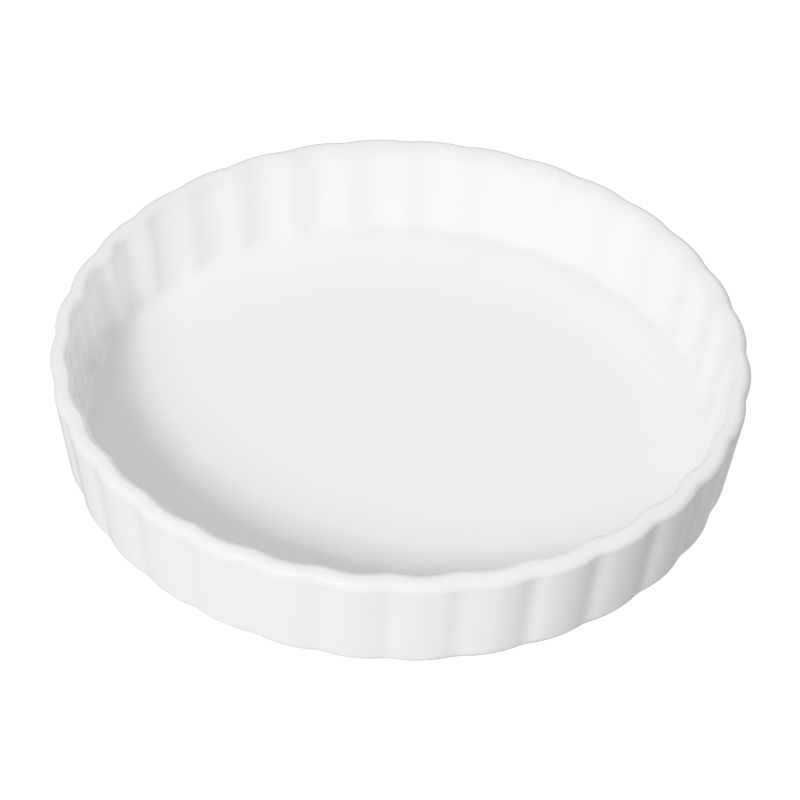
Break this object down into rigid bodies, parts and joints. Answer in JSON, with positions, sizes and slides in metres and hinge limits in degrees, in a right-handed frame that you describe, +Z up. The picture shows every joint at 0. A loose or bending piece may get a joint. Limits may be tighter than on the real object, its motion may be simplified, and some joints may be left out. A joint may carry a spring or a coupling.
{
  "type": "quiche dish",
  "caption": "Round white porcelain baking dish with an upright fluted wall, full-round rim, flat floor with a small rounded corner, and a low unglazed foot ring to stand on.",
  "frame": {"origin": "centre of the foot ring, on the plane that the dish stands on", "axes": "+Z up through the open top, along the dish's axis; +X and +Y each pass through a valley of the outer flutes"},
  "size_m": [0.2638, 0.2638, 0.0448],
  "materials": {
    "bare_porcelain": "matt fired porcelain, unglazed and slightly rough on the foot ring",
    "white_glaze": "glossy clear glaze over white porcelain"
  },
  "bodies": {
    "root": {"porcelain_body": "bare_porcelain", "glaze_coat": "white_glaze", "base_glaze": "white_glaze"}
  },
  "joints": []
}
